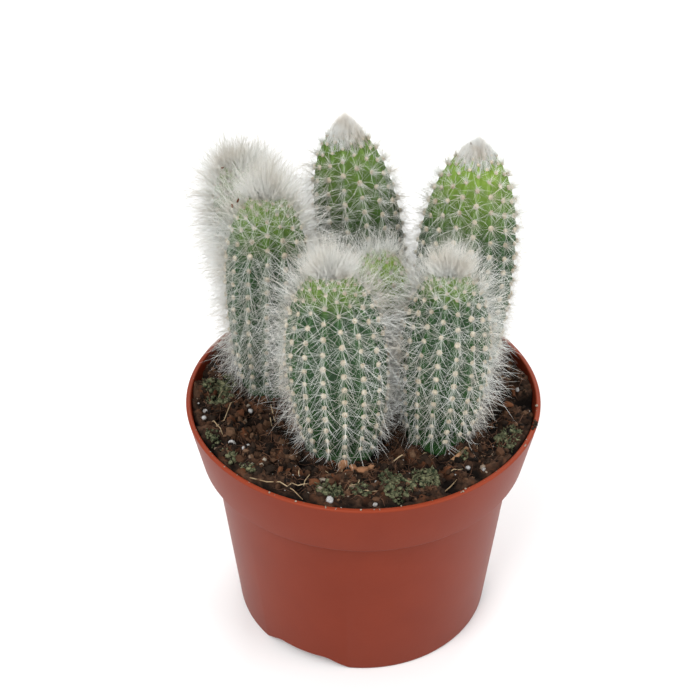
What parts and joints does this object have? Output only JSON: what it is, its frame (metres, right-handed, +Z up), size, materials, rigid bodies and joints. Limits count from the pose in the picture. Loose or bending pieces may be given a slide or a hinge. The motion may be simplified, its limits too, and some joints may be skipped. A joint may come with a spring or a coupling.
{
  "type": "potted silver torch cactus",
  "caption": "Young silver torch cactus: a clump of upright ribbed stems with fine white spines and crown tufts, growing in the soil of a round plastic nursery pot.",
  "frame": {"origin": "middle of the circle that the pot's foot stands on", "axes": "+Z up along the pot's axis, -Y towards the side that the picture shows, +X to the viewer's right"},
  "size_m": [0.105, 0.105, 0.1506],
  "materials": {
    "pot_plastic": "satin",
    "potting_soil": "matte",
    "cactus": "matte"
  },
  "bodies": {
    "root": {"pot": "pot_plastic", "soil": "potting_soil", "stem_front_left": "cactus", "stem_front_right": "cactus", "stem_left": "cactus", "stem_back_left": "cactus", "stem_back": "cactus", "stem_right": "cactus", "stem_middle": "cactus"}
  },
  "joints": []
}
